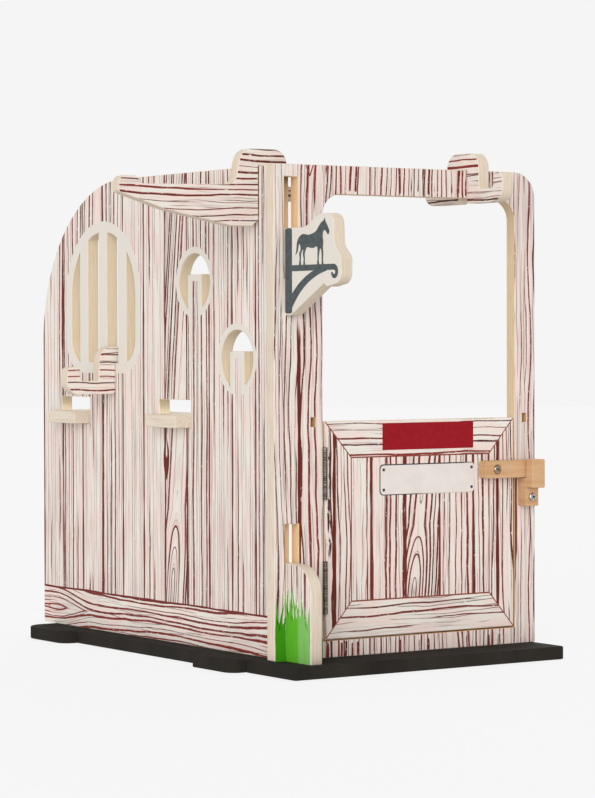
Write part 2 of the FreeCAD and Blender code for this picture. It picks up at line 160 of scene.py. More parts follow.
# Side wall: planks, skirting and cut-outs
WALL_PLANK = 48.5
WALL_JOINT = 11.0
SKIRTING = 46.0
ARCHED_PLANK = 4
BUSY_PLANK = 3
BUSY_PLANK_FALL = 0.72
PLANK_SHIFT = 900.0
PLANK_INK_SPREAD = 0.3
PLANK_INK_LEAST = -0.24
UPPER_INK = 0.08
# Painted shade on the wall's print: more towards its foot, less overall
LOWER_SHADE = 0.11
WALL_SHADE = -0.06
JOINT_HALF = 1.45
SKIRTING_LINE_HALF = 1.2
SPLIT_Y = 251.0
SPLIT_Z = 214.0
SPLIT_HALF_WIDTH = 7.0
SPLIT_HALF_HEIGHT = 27.0
SIGN_FOOT = 300.0
SHADE_FADE = (150.0, 400.0)
KNOT_Z = 21.0
KNOT_TIP = 420.0
KNOT_REAR = 515.0
KNOT_HALF = 13.0
KNOT_SHIFT = 300.0
WINDOW_Y = WALL_HIGH.y - 149.0
WINDOW_FOOT = 325.5
WINDOW_ARCH = 406.5
WINDOW_HALF = 76.0
WINDOW_FOOT_R = 28.0
WINDOW_RING = 13.0
SHOES = ((188.0, 418.5), (98.0, 330.5))
SHOE_R = 33.0
SHOE_TONGUE_HALF = 15.0
SHOE_TONGUE_RISE = 9.0
SHOE_RING = 7.5

# Front panel: openings and drawn strokes
OPENING_LEFT, OPENING_RIGHT = 65.0, 333.0
OPENING_FOOT, OPENING_TOP = 19.0, 513.0
MORTISE_LEFT, MORTISE_RIGHT = 14.5, 32.5
CUT_MARGIN = 2.0
# Painted shade beside the doorway fades out over this height below the door's top
GAP_SHADE_FADE = 120.0
# Painted shade on the panel's print: more right of the doorway, a little over the whole panel
PANEL_SHADE = 0.06
PANEL_STROKE = 33.2
PANEL_STROKE_HALF = 2.2
PANEL_STROKE_SPAN = (60.0, 380.0)
BROWN_STROKE = OPENING_RIGHT + 2.0
BROWN_STROKE_HALF = 1.8
BROWN_STROKE_SPAN = (80.0, 215.0)
DENSE_FADE = 8.0
VEE_X, VEE_FOOT = 48.0, 532.0
VEE_SLANT = 0.385
VEE_HALF = 0.8
CALM_FADE = (430.0, 500.0)
CALMER = -0.22

# Arched grain, on one plank of the wall and one board of the door
ARCHES = 3
ARCH_FOOT = 70.0
ARCH_PITCH = 8.2
ARCH_FIRST = 0.7
ARCH_HALF = 0.6
ARCH_STRETCH = 5.3
ARCH_STEEP = 1.8
ARCH_LEAN = 0.1
ARCH_Y = 237.0
ARCH_X = 189.0
STROKE_FADE = 30.0

# Door print
DOOR_STILE = 35.5
DOOR_RAIL = 40.7
DOOR_PLANK = 47.7
DOOR_JOINT = 82.0
ARCHED_BOARD = 2
BOARD_JOINT_HALF = 1.5
DOOR_STROKES = (80.2, 308.0)
DOOR_STROKE_HALF = 2.2
DOOR_MARKS = 73.0
DOOR_MARKS_HALF = 2.4
DOOR_MARKS_SPAN = (95.0, 250.0)
BUSY_FROM = 165.0
BUSY_SPAN = 330.0
RAIL_BUSY_FROM = 100.0
RAIL_BUSY_SPAN = 480.0
MITRE_LINE = (1.1, 0.6)
RIM_LINE = (0.9, 0.5)

# Plates on the door: left, foot, right and top of each, and the widths of the name plate's rim
PLAQUE = (145.5, 228.4, 273.0, 258.7)
PLAQUE_R = 0.8
NAME_PLATE = (141.3, 177.6, 274.4, 212.4)
NAME_PLATE_R = 5.0
PLATE_RIM = (1.3, 1.0, 0.4, 1.3)
PLATE_INNER_R = 4.4
DOT_R = 1.8
DOT_FROM_LEFT = 5.7
DOT_FROM_RIGHT = 4.0
DOT_FROM_END = 6.1

# Hooks and rack: how much more ink than usual, and the front hook's one broad stroke
FRONT_HOOK_INK = -0.08
WINDOW_HOOK_INK = 0.2
RACK_INK = 0.3
HOOK_STROKE = PANEL_HIGH.z + 4.0
HOOK_STROKE_HALF = 1.5

# Camera that matches the photograph's view, in metres
CAMERA_PLACE = Vector((-1.90587, -2.85752, 0.36925))
CAMERA_YAW = math.radians(-33.848)
CAMERA_PITCH = math.radians(-1.2128)
CAMERA_ROLL = math.radians(-0.140)
CAMERA_LENS = 174.311
SENSOR = 36.0


# Shader maths written as formulas
class Field:
    """A number or colour that varies over a surface; arithmetic on it adds maths nodes."""

    def __init__(self, tree, socket):
        self.tree = tree
        self.socket = socket

    def __add__(self, other):
        return maths("ADD", self, other)

    def __sub__(self, other):
        return maths("SUBTRACT", self, other)

    def __rsub__(self, other):
        return maths("SUBTRACT", other, self)

    def __mul__(self, other):
        return maths("MULTIPLY", self, other)

    def __truediv__(self, other):
        return maths("DIVIDE", self, other)

    def __abs__(self):
        return maths("ABSOLUTE", self)

    def __lt__(self, other):
        return maths("LESS_THAN", self, other)

    def __gt__(self, other):
        return maths("GREATER_THAN", self, other)


def plug(tree, value, socket):
    """Links a field to a socket, or sets the socket to a constant."""
    if isinstance(value, Field):
        tree.links.new(value.socket, socket)
    else:
        socket.default_value = value


def maths(operation, *values):
    tree = next(value.tree for value in values if isinstance(value, Field))
    node = tree.nodes.new("ShaderNodeMath")
    node.operation = operation
    for value, socket in zip(values, node.inputs):
        plug(tree, value, socket)
    return Field(tree, node.outputs[0])


def smallest(one, other):
    return maths("MINIMUM", one, other)


def largest(one, other):
    return maths("MAXIMUM", one, other)


def floor(value):
    return maths("FLOOR", value)


def fraction(value):
    return maths("FRACT", value)


def same(value, number):
    """1 where a whole-number field is this number, else 0."""
    return maths("COMPARE", value, number, 0.5)


def length(one, other):
    return maths("SQRT", one * one + other * other)


def ramp(value, low, high):
    """Smooth step from 0 at low to 1 at high."""
    tree = value.tree
    node = tree.nodes.new("ShaderNodeMapRange")
    node.interpolation_type = "SMOOTHSTEP"
    plug(tree, value, node.inputs["Value"])
    plug(tree, low, node.inputs["From Min"])
    plug(tree, high, node.inputs["From Max"])
    return Field(tree, node.outputs["Result"])


def choose(mask, off, on):
    """The number off where mask is 0, and on where it is 1."""
    return (on - off) * mask + off


def blend(factor, below, above):
    """The colour below where factor is 0, and above where it is 1."""
    tree = factor.tree
    node = tree.nodes.new("ShaderNodeMix")
    node.data_type = "RGBA"
    colours = [socket for socket in node.inputs if socket.type == "RGBA"]
    plug(tree, factor, node.inputs[0])
    plug(tree, below, colours[0])
    plug(tree, above, colours[1])
    shown = next(socket for socket in node.outputs if socket.type == "RGBA")
    return Field(tree, shown)


def noise(across, along, seed, detail=1.0):
    """Smooth random number about 0.5; across and along are in units of its grain."""
    tree = across.tree
    place = tree.nodes.new("ShaderNodeCombineXYZ")
    for value, socket in zip((across, along, seed), place.inputs):
        plug(tree, value, socket)
    node = tree.nodes.new("ShaderNodeTexNoise")
    node.inputs["Scale"].default_value = 1.0
    node.inputs["Detail"].default_value = detail
    tree.links.new(place.outputs[0], node.inputs["Vector"])
    return Field(tree, node.outputs[0])


def chance(number, seed):
    """Random number from 0 to 1 for each whole number."""
    tree = number.tree
    node = tree.nodes.new("ShaderNodeTexWhiteNoise")
    node.noise_dimensions = "1D"
    plug(tree, number + seed, node.inputs["W"])
    return Field(tree, node.outputs["Value"])


def coordinates(tree):
    """Place on the surface in millimetres from the panel's lower left front corner."""
    source = tree.nodes.new("ShaderNodeTexCoord")
    shift = tree.nodes.new("ShaderNodeVectorMath")
    shift.operation = "SUBTRACT"
    shift.inputs[1].default_value = ORIGIN
    scale = tree.nodes.new("ShaderNodeVectorMath")
    scale.operation = "SCALE"
    scale.inputs["Scale"].default_value = 1 / MM
    split = tree.nodes.new("ShaderNodeSeparateXYZ")
    tree.links.new(source.outputs["Object"], shift.inputs[0])
    tree.links.new(shift.outputs[0], scale.inputs[0])
    tree.links.new(scale.outputs[0], split.inputs[0])
    return [Field(tree, socket) for socket in split.outputs]


def surface(name, roughness, specular=0.15, metallic=0.0):
    """A new material with its shader's constants set, and its node tree."""
    material = bpy.data.materials.new(name)
    material.use_nodes = True
    shader = material.node_tree.nodes["Principled BSDF"]
    shader.inputs["Roughness"].default_value = roughness
    shader.inputs["Specular IOR Level"].default_value = specular
    shader.inputs["Metallic"].default_value = metallic
    return material, material.node_tree


def dress(tree, colour, height=None, depth=0.1):
    """Gives the shader its colour, and relief from a height field of this depth in millimetres."""
    shader = tree.nodes["Principled BSDF"]
    plug(tree, colour, shader.inputs["Base Color"])
    if height is not None:
        bump = tree.nodes.new("ShaderNodeBump")
        bump.inputs["Distance"].default_value = depth * MM
        plug(tree, height, bump.inputs["Height"])
        tree.links.new(bump.outputs[0], shader.inputs["Normal"])


# Wood grain drawn in ink
INK_SOFT = 0.22
WOBBLE = 2.2
WOBBLE_LENGTH = 28.0
CLUSTER = 0.9
WARMER = 0.04
Lines = namedtuple("Lines", "pitch width wander reach gaps run")
WALL_FINE = Lines(4.4, 0.85, 7.0, 260.0, 0.52, 130.0)
WALL_BOLD = Lines(9.7, 2.3, 9.0, 230.0, 0.6, 240.0)
PANEL_FINE = Lines(5.0, 0.8, 10.0, 150.0, 0.64, 90.0)
PANEL_BOLD = Lines(7.3, 1.8, 24.0, 200.0, 0.42, 170.0)
DENSE = Lines(8.3, 2.2, 10.0, 90.0, 0.68, 60.0)
LEVEL_FINE = Lines(5.0, 0.8, 9.0, 90.0, 0.64, 70.0)
LEVEL_BOLD = Lines(8.2, 1.7, 14.0, 150.0, 0.48, 220.0)
RACK_BOLD = Lines(6.6, 1.9, 14.0, 160.0, 0.52, 180.0)
BOARD_FINE = Lines(4.3, 0.7, 12.0, 110.0, 0.64, 80.0)
BOARD_BOLD = Lines(8.1, 2.4, 8.0, 180.0, 0.4, 240.0)
SKIRTING_FINE = Lines(4.1, 0.6, 12.0, 120.0, 0.7, 70.0)
SKIRTING_BOLD = Lines(6.8, 2.5, 24.0, 230.0, 0.36, 300.0)


def grain(across, along, lines, seed, more=0.0, slope=1.0):
    """Hand-drawn lines running along: how much ink, and a random number for each line's tone.

    Where across isn't a plain distance, slope is how much it changes in a millimetre.
    """
    drift = (noise(across / (lines.pitch * 7), along / lines.reach, seed) - 0.5) * lines.wander
    wobble = (noise(across / (lines.pitch * 2), along / WOBBLE_LENGTH, seed + 1.7) - 0.5) * WOBBLE
    place = (across + drift + wobble) / lines.pitch
    line = floor(place)
    luck = chance(line, seed + 0.41)
    centre = chance(line, seed) * 0.4 + 0.3
    swell = noise(line * 5.3, along / lines.run, seed + 3.1)
    rough = noise(line * 3.7, along / 11.0, seed + 5.3)
    crowd = (noise(across / (lines.pitch * 4), along / lines.reach, seed + 6.1) - 0.5) * CLUSTER
    weight = ramp(luck * 0.35 + swell + crowd + more, lines.gaps, lines.gaps + 0.15)
    half = (luck * 0.9 + 0.35) * (swell * 0.7 + rough * 0.5 + 0.4) * weight * (lines.width / 2)
    distance = abs(fraction(place) - centre) * lines.pitch / slope
    worn = ramp(noise(across / 1.4, along / 6.0, seed + 8.0, 2.0), 0.71, 0.63)
    ink = ramp(distance, half + INK_SOFT, half - INK_SOFT) * weight * worn
    return ink, chance(line, seed + 0.73)


def inked(colour, lines, dark, light):
    """Draws grain lines over a colour."""
    ink, tone = lines
    return blend(ink, colour, blend(tone, dark, light))


def arched(across, along, centre, lean, pitch):
    """Field with contours in a few nested arches above a foot, and its change in a millimetre."""
    aside = across - centre - (along - ARCH_FOOT) * lean
    highest = ARCHES * pitch / ARCH_STEEP
    rise = smallest(largest(along - ARCH_FOOT, 0.0) / ARCH_STRETCH, highest)
    radius = length(aside, rise)
    slope = length(aside / radius, rise / (radius * ARCH_STRETCH)) * ARCH_STEEP
    return radius * ARCH_STEEP, slope


def near(distance, half, along, seed):
    """Ink of one line that sways, swells and thins a little on its way."""
    sway = (noise(along / 60.0, along / 300.0, seed + 2.3) - 0.5) * WOBBLE
    reach = (noise(along / 30.0, along / 300.0, seed) + 0.5) * half
    return ramp(abs(distance + sway), reach + INK_SOFT, reach - INK_SOFT)


def stroke(distance, half, along, low, high, seed):
    """Ink of a broad stroke that fades in and out at its ends."""
    ends = ramp(along, low, low + STROKE_FADE) * ramp(along, high, high - STROKE_FADE)
    return near(distance, ends * half, along, seed) * ends


def ragged(distance, half, along, low, high, seed):
    """Ink of a stroke that breaks up into short marks."""
    breaks = ramp(noise(distance / 3.0, along / 16.0, seed + 4.0, 2.0), 0.47, 0.54)
    return stroke(distance, half, along, low, high, seed) * breaks


def paper(across, along, seed, warmth=0.0, shade=0.0):
    """Print base: off-white, in places cream and in places pink, with faint streaks; shade moves it towards
    PRINT_SHADE as painted shade.
    """
    blush = noise(across / 16.0, along / 50.0, seed + 2.9, 2.0)
    colour = blend(ramp(blush + warmth, 0.34, 0.64), PRINT_CREAM, PRINT_PINK)
    streak = noise(across / 3.0, along / 90.0, seed, 3.0)
    return blend(ramp(streak + shade, 0.5, 0.72), colour, PRINT_SHADE)


def window_distance(y, z):
    """Distance outside the arched window's outline, negative within it."""
    side = length(y - WINDOW_Y, largest(z - WINDOW_ARCH, 0.0)) - (WINDOW_HALF - WINDOW_FOOT_R)
    under = (WINDOW_FOOT + WINDOW_FOOT_R) - z
    outside = length(largest(side, 0.0), largest(under, 0.0))
    return outside + smallest(largest(side, under), 0.0) - WINDOW_FOOT_R


def shoe_distance(y, z, centre_y, centre_z):
    """Distance outside a horseshoe cut, negative within it."""
    circle = length(y - centre_y, z - centre_z) - SHOE_R
    sides = abs(y - centre_y) - SHOE_TONGUE_HALF
    tongue = largest(sides, z - (centre_z + SHOE_TONGUE_RISE))
    return largest(circle, 0.0 - tongue)


def split_ink(y, z):
    """Ink of an almond-shaped split with a pale slit in its upper half."""
    rise = (z - SPLIT_Z) / SPLIT_HALF_HEIGHT
    half = largest(1.0 - rise * rise, 0.0) * SPLIT_HALF_WIDTH
    aside = abs(y - SPLIT_Y)
    almond = ramp(aside, half, half - 1.0)
    slit = ramp(aside, half * 0.4, half * 0.2) * ramp(rise, 0.0, 0.2)
    return almond * (1.0 - slit)


def plank_print(y, z):
    """Upright planks of the wall, one with arched grain and a split."""
    place = (y - WALL_JOINT) / WALL_PLANK
    plank = floor(place)
    joint = abs(fraction(place + 0.5) - 0.5) * WALL_PLANK
    arch, steep = arched(y, z, ARCH_Y, -ARCH_LEAN, WALL_BOLD.pitch)
    is_arched = same(plank, ARCHED_PLANK)
    across = choose(is_arched, y + chance(plank, 2.0) * PLANK_SHIFT, arch)
    slope = choose(is_arched, 1.0, steep)
    busy = chance(plank, 6.0) * PLANK_INK_SPREAD + PLANK_INK_LEAST + ramp(z, *SHADE_FADE) * UPPER_INK
    busy = largest(busy, same(plank, BUSY_PLANK) - BUSY_PLANK_FALL)
    # Painted shade: the print darkens towards the wall's foot, and is a little lighter overall
    shade = ramp(z, *reversed(SHADE_FADE)) * LOWER_SHADE + WALL_SHADE
    colour = paper(across, z, 1.0, 0.0, shade)
    colour = inked(colour, grain(across, z, WALL_FINE, 4.0, 0.0, slope), INK_GREY, INK_PINK)
    colour = inked(colour, grain(across, z, WALL_BOLD, 9.0, busy, slope), INK_DARK, INK_RED)
    for number in range(ARCHES):
        aside = (arch - (number + ARCH_FIRST) * ARCH_PITCH) / steep
        colour = blend(near(aside, ARCH_HALF, z, 6.0 + number) * is_arched, colour, INK_DARK)
    colour = blend(near(joint, JOINT_HALF, z, 5.0), colour, JOINT_INK)
    return blend(split_ink(y, z), colour, STROKE_INK)


def skirting_print(y, z):
    """Long wavy grain of the board along the wall's foot, parted by a knot at its rear end."""
    aside = z - KNOT_Z
    half = ramp(y, KNOT_TIP, KNOT_REAR) * KNOT_HALF
    inside = half - abs(aside)
    across = choose(inside > 0.0, aside - maths("SIGN", aside) * half, inside + KNOT_SHIFT)
    colour = paper(z, y, 12.0)
    colour = inked(colour, grain(across, y, SKIRTING_FINE, 16.0), INK_GREY, INK_RED)
    return inked(colour, grain(across, y, SKIRTING_BOLD, 14.0), JOINT_INK, INK_RED)


def wall_print(x, y, z):
    on_skirting = (z < SKIRTING) * (y > 0.0)
    colour = blend(on_skirting, plank_print(y, z), skirting_print(y, z))
    colour = blend(near(z - SKIRTING, SKIRTING_LINE_HALF, y, 19.0) * (y > 0.0), colour, JOINT_INK)
    clear = window_distance(y, z) - WINDOW_RING
    for centre_y, centre_z in SHOES:
        clear = smallest(clear, shoe_distance(y, z, centre_y, centre_z) - SHOE_RING)
    sign = largest(y, SIGN_FOOT - z)
    return blend(smallest(clear, sign) < 0.0, colour, BARE_FACE)


def wall_cut(x, y, z, tone, edge):
    """Reveals of the window, horseshoes and shelf holes, the shelf holes' reveals painted near-white as
    painted light; warmer where the front end is in its mortises.
    """
    hole = blend(z > SIGN_FOOT, blend(tone, LIT_HOLE_PALE, LIT_HOLE_TAN), blend(tone, REVEAL_PALE, REVEAL_TAN))
    inside = blend(y > PLY + CUT_MARGIN, blend(tone, MORTISE_TAN, MORTISE_DEEP), hole)
    return blend(y > 0.0, edge, inside)


def upright_print(x, z, seed, shade=0.0, more=0.0):
    """Upright lines of the front panel and the door's stiles."""
    colour = paper(x, z, seed, WARMER, shade)
    colour = inked(colour, grain(x, z, PANEL_FINE, seed + 4.0), INK_GREY, INK_PINK)
    return inked(colour, grain(x, z, PANEL_BOLD, seed + 7.0, more), INK_DARK, INK_RED)


def panel_print(x, y, z):
    calm = ramp(z, *CALM_FADE) * (x < OPENING_LEFT)
    # Painted shade makes the print darker right of the doorway; the whole panel's base is also a little
    # darker
    shade = (x > OPENING_RIGHT) * PANEL_SHADE + PANEL_SHADE
    colour = upright_print(x, z, 21.0, shade, calm * CALMER)
    above = ramp(z, OPENING_TOP - DENSE_FADE, OPENING_TOP + DENSE_FADE)
    below = ramp(z, OPENING_FOOT + DENSE_FADE, OPENING_FOOT - DENSE_FADE)
    between = (x > OPENING_LEFT) * (x < OPENING_RIGHT)
    crowd = largest(above, below) * between - 1.0
    colour = inked(colour, grain(x, z, DENSE, 27.0, crowd), INK_DARK, INK_RED)
    vee = abs(abs(x - VEE_X) - (z - VEE_FOOT) * VEE_SLANT)
    colour = blend(near(vee, VEE_HALF, z, 25.0) * (z > VEE_FOOT), colour, INK_RED)
    beside = stroke(x - BROWN_STROKE, BROWN_STROKE_HALF, z, *BROWN_STROKE_SPAN, 29.0)
    colour = blend(beside, colour, BROWN_INK)
    broad = stroke(x - PANEL_STROKE, PANEL_STROKE_HALF, z, *PANEL_STROKE_SPAN, 28.0)
    return blend(broad, colour, STROKE_INK)


def panel_cut(x, y, z, tone, edge):
    """Tan reveals of the doorway and slots, with painted shade in deeper browns beside the door and in the
    slots, and warmer in the mortises.
    """
    within = smallest(smallest(x, PANEL_HIGH.x - x), smallest(z, PANEL_HIGH.z - z))
    mortise = x < MORTISE_RIGHT + CUT_MARGIN
    slot = largest(OPENING_LEFT - x, x - OPENING_RIGHT) > CUT_MARGIN
    # Painted shade: browner, darker edges beside the door below its top, and in the slots
    gap_shaded = largest(ramp(z, DOOR_HIGH.z, DOOR_HIGH.z - GAP_SHADE_FADE), slot)
    doorway = blend(gap_shaded, blend(tone, CUT_TAN, CUT_DEEP), blend(tone, GAP_SHADE_TAN, GAP_SHADE_DEEP))
    reveal = blend(mortise, doorway, blend(tone, MORTISE_TAN, MORTISE_DEEP))
    return blend(within > CUT_MARGIN, edge, reveal)


def level_print(along, z, seed, more=0.0, bold=LEVEL_BOLD):
    """Level lines of the door rails, hooks and rack."""
    colour = paper(z, along, seed)
    colour = inked(colour, grain(z, along, LEVEL_FINE, seed + 4.0), INK_DARK, INK_PINK)
    return inked(colour, grain(z, along, bold, seed + 6.0, more), INK_DARK, INK_RED)


def door_boards(x, z):
    """Upright boards inside the door's frame, one with arched grain."""
    place = (x - DOOR_JOINT) / DOOR_PLANK
    board = floor(place)
    joint = abs(fraction(place + 0.5) - 0.5) * DOOR_PLANK
    arch, steep = arched(x, z, ARCH_X, ARCH_LEAN, BOARD_BOLD.pitch)
    is_arched = same(board, ARCHED_BOARD)
    across = choose(is_arched, x, arch)
    slope = choose(is_arched, 1.0, steep)
    colour = paper(x, z, 41.0, WARMER)
    colour = inked(colour, grain(across, z, BOARD_FINE, 49.0, 0.0, slope), INK_GREY, INK_PINK)
    busy = (x - BUSY_FROM) / BUSY_SPAN
    colour = inked(colour, grain(across, z, BOARD_BOLD, 44.0, busy, slope), INK_DARK, INK_RED)
    return blend(near(joint, BOARD_JOINT_HALF, z, 47.0), colour, JOINT_INK)


def door_print(x, y, z):
    """Mitred frame round upright boards."""
    side = smallest(x - DOOR_LOW.x, DOOR_HIGH.x - x) / DOOR_STILE
    end = smallest(z - DOOR_LOW.z, DOOR_HIGH.z - z) / DOOR_RAIL
    edge = smallest(side, end)
    stiles = upright_print(x, z, 31.0)
    for number, middle in enumerate(DOOR_STROKES):
        stiles = blend(near(x - middle, DOOR_STROKE_HALF, z, 38.0 + number), stiles, STROKE_INK)
    marks = ragged(x - DOOR_MARKS, DOOR_MARKS_HALF, z, *DOOR_MARKS_SPAN, 33.0)
    stiles = blend(marks, stiles, INK_DARK)
    rails = level_print(x, z, 36.0, (z - RAIL_BUSY_FROM) / RAIL_BUSY_SPAN)
    colour = blend(end < side, stiles, rails)
    colour = blend(edge > 1.0, colour, door_boards(x, z))
    mitre = ramp(abs(side - end) * DOOR_STILE, *MITRE_LINE) * (edge < 1.0)
    rim = ramp(abs(edge - 1.0) * DOOR_STILE, *RIM_LINE)
    return blend(largest(mitre, rim), colour, MITRE_INK)


def door_cut(x, y, z, tone, edge):
    """Painted shade in deeper browns on the foot and latch side, which face gaps; paler top edge and hinge
    side.
    """
    gap_shaded = (z < DOOR_HIGH.z - CUT_MARGIN) * (x > DOOR_LOW.x + CUT_MARGIN)
    return blend(gap_shaded, edge, blend(tone, GAP_SHADE_TAN, GAP_SHADE_DEEP))


def hook_front_print(x, y, z):
    colour = level_print(y, z, 101.0, FRONT_HOOK_INK)
    return blend(near(z - HOOK_STROKE, HOOK_STROKE_HALF, y, 107.0), colour, INK_RED)


def hook_window_print(x, y, z):
    return level_print(x, z, 111.0, WINDOW_HOOK_INK)


def rack_print(x, y, z):
    return level_print(x, z, 121.0, RACK_INK, RACK_BOLD)


# Materials
def raw_edge(depth, run):
    """How tan a sanded plywood edge is: faint layers and streaks."""
    layer = chance(floor(depth / PLY_LAYER), 0.2)
    streak = noise(depth * 0.7, run / 30.0, 51.0, 3.0)
    return ramp(layer * 0.2 + streak, 0.35, 0.95)


def printed_ply(name, axis, low, high, face_print, cut):
    """Plywood sheet: print on its two faces, raw wood on its edges, tan where an opening was cut."""
    material, tree = surface(name, 0.55)
    x, y, z = coordinates(tree)
    depth = (x, y, z)[axis] - low[axis]
    thickness = high[axis] - low[axis]
    on_face = abs(depth - thickness / 2) > thickness / 2 - FACE_SKIN
    tone = raw_edge(depth, x + y + z)
    edge = blend(tone, RAW_PALE, RAW_TAN)
    if cut:
        edge = cut(x, y, z, tone, edge)
    fibre = noise((x + y) / 0.9, z / 14.0, 61.0, 2.0)
    dress(tree, blend(on_face, edge, face_print(x, y, z)), fibre, 0.06)
    return material


def beech():
    material, tree = surface("beech", 0.5)
    x, y, z = coordinates(tree)
    fleck = noise(x / 9.0, z / 0.8, y / 3.0, 3.0)
    broad = noise(x / 60.0, z / 7.0, 72.0)
    tone = ramp(fleck * 0.35 + broad * 0.65, 0.36, 0.66)
    dress(tree, blend(tone, BEECH_PALE, BEECH_WARM), fleck, 0.05)
    return material


def bare_ply():
    """Unprinted plywood of the shelf."""
    material, tree = surface("shelf_ply", 0.55)
    x, y, z = coordinates(tree)
    streak = noise(x / 3.0, y / 70.0, z / 3.0, 3.0)
    dress(tree, blend(ramp(streak, 0.35, 0.85), RAW_PALE, RAW_TAN), streak, 0.05)
    return material


def foam():
    material, tree = surface("foam", 0.92, 0.2)
    x, y, z = coordinates(tree)
    cells = noise(x / 0.9, y / 0.9, z / 0.9, 3.0)
    cloud = noise(x / 40.0, y / 40.0, 92.0, 2.0)
    dress(tree, blend(ramp(cells * 0.6 + cloud * 0.4, 0.35, 0.68), FOAM_DARK, FOAM_PALE), cells, 0.4)
    return material


def hinge_steel():
    """Dull steel with fine level drawing marks."""
    material, tree = surface("hinge_steel", 0.42, metallic=1.0)
    x, y, z = coordinates(tree)
    marks = noise((x + y) / 7.0, z / 0.55, 95.0, 2.0)
    dress(tree, blend(ramp(marks, 0.4, 0.6), HINGE_DARK, HINGE_PALE), marks, 0.05)
    return material


def screw_steel(name, dark, pale):
    material, tree = surface(name, 0.22, metallic=1.0)
    x, y, z = coordinates(tree)
    turned = noise(x / 1.2, y / 0.4, z / 1.2, 2.0)
    dress(tree, blend(ramp(turned, 0.35, 0.65), dark, pale), turned, 0.01)
    return material


def ink_film(name, dark, light, scale):
    """Flat printed colour with a faint mottle."""
    material, tree = surface(name, 0.5)
    x, y, z = coordinates(tree)
    mottle = noise((x + y) / scale, z / scale, 97.0, 3.0)
    dress(tree, blend(ramp(mottle, 0.3, 0.7), dark, light), mottle, 0.02)
    return material


def plate_line():
    """Outline of the name plate: dark at its left and top, fading out to the lower right."""
    material, tree = surface("name_plate_line", 0.5)
    x, y, z = coordinates(tree)
    left, low, right, high = NAME_PLATE
    along = (x - left) / (right - left) + (high - z) / (high - low) * 0.5
    mottle = noise(x / 3.0, z / 3.0, 99.0, 2.0)
    dress(tree, blend(ramp(mottle * 0.1 + along, 0.9, 1.15), PLATE_LINE, PRINT_SHADE), mottle, 0.02)
    return material


def grass_ink():
    """Green that lightens in steps away from the panel's outer edge."""
    material, tree = surface("grass_ink", 0.5)
    x, y, z = coordinates(tree)
    blade = noise((x + y) / 2.2, z / 40.0, 98.0, 2.0)
    tone = blend(ramp(y, -22.0, -27.0), GRASS_MID, GRASS_LIGHT)
    tone = blend(y < -0.5, GRASS_DEEP, tone)
    dress(tree, blend(ramp(blade, 0.45, 0.7) * 0.2, tone, GRASS_DEEP), blade, 0.02)
    return material


# Pieces
def add_piece(name, mesh, body, material):
    piece = bpy.data.objects.new(name, mesh)
    bpy.context.scene.collection.objects.link(piece)
    mesh.materials.clear()
    mesh.materials.append(material)
    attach(piece, body)
    return piece


def body_of_node(node):
    for body, members in frame["record"]["behaviour"]["bodies"].items():
        if node in members:
            return body
    raise ValueError(node)


SHARP = math.radians(40)
WELD = 1e-6
FLAT = math.radians(0.4)


def eased_mesh(node, axis, radius):
    """Mesh of a sheet whose face edges are rounded over; with no axis, every sharp edge is."""
    low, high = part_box(node)
    mesh = bmesh.new()
    mesh.from_mesh(frame["nodes"][node].data)
    bmesh.ops.remove_doubles(mesh, verts=mesh.verts, dist=WELD)
    bmesh.ops.dissolve_limit(mesh, angle_limit=FLAT, verts=mesh.verts, edges=mesh.edges)
    rims = []
    for edge in mesh.edges:
        if edge.calc_face_angle(0.0) < SHARP:
            continue
        middle = (edge.verts[0].co + edge.verts[1].co) / 2
        if axis is None or min(middle[axis] - low[axis], high[axis] - middle[axis]) < WELD * 20:
            rims.append(edge)
    bmesh.ops.bevel(mesh, geom=rims, offset=radius * MM, offset_type="OFFSET", segments=3,
                    profile=0.5, affect="EDGES", clamp_overlap=False)
    for face in mesh.faces:
        face.smooth = True
    result = bpy.data.meshes.new(node)
    mesh.to_mesh(result)
    mesh.free()
    return result


def eased_sheet(node, axis, radius, material):
    """Stands for a CAD sheet, with its edges rounded over."""
    mesh = eased_mesh(node, axis, radius)
    piece = add_piece(f"{node}_eased", mesh, body_of_node(node), material)
    shading = piece.modifiers.new("even_shading", "WEIGHTED_NORMAL")
    shading.keep_sharp = True
    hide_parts(node)
    return piece


def on_front(u, v, lift):
    return Vector((u, -lift, v))


def on_wall_outside(u, v, lift):
    return Vector((WALL_LOW.x - lift, -u, v))


def on_wall_inside(u, v, lift):
    return Vector((WALL_HIGH.x + lift, -u, v))


FILM = 0.15
FILM_STEP = 0.02


def plate_mesh(name, outlines, place, thickness):
    """Thin closed plates from outlines of (u, v) points on a face; each lies a little above the last."""
    mesh = bmesh.new()
    for number, outline in enumerate(outlines):
        lift = thickness + number * FILM_STEP
        foot = [mesh.verts.new(ORIGIN + place(u, v, 0.0) * MM) for u, v in outline]
        top = [mesh.verts.new(ORIGIN + place(u, v, lift) * MM) for u, v in outline]
        mesh.faces.new(foot)
        mesh.faces.new(list(reversed(top)))
        for index in range(len(outline)):
            mesh.faces.new((foot[index - 1], foot[index], top[index], top[index - 1]))
    bmesh.ops.recalc_face_normals(mesh, faces=mesh.faces)
    result = bpy.data.meshes.new(name)
    mesh.to_mesh(result)
    mesh.free()
    return result


def arc(centre_u, centre_v, radius, start, end, steps=8):
    """Points of an arc; angles in degrees from the u axis."""
    points = []
    for step in range(steps + 1):
        angle = math.radians(start + (end - start) * step / steps)
        points.append((centre_u + radius * math.cos(angle), centre_v + radius * math.sin(angle)))
    return points


def rounded_rectangle(left, low, right, high, radius):
    return (arc(right - radius, low + radius, radius, -90, 0)
            + arc(right - radius, high - radius, radius, 0, 90)
            + arc(left + radius, high - radius, radius, 90, 180)
            + arc(left + radius, low + radius, radius, 180, 270))


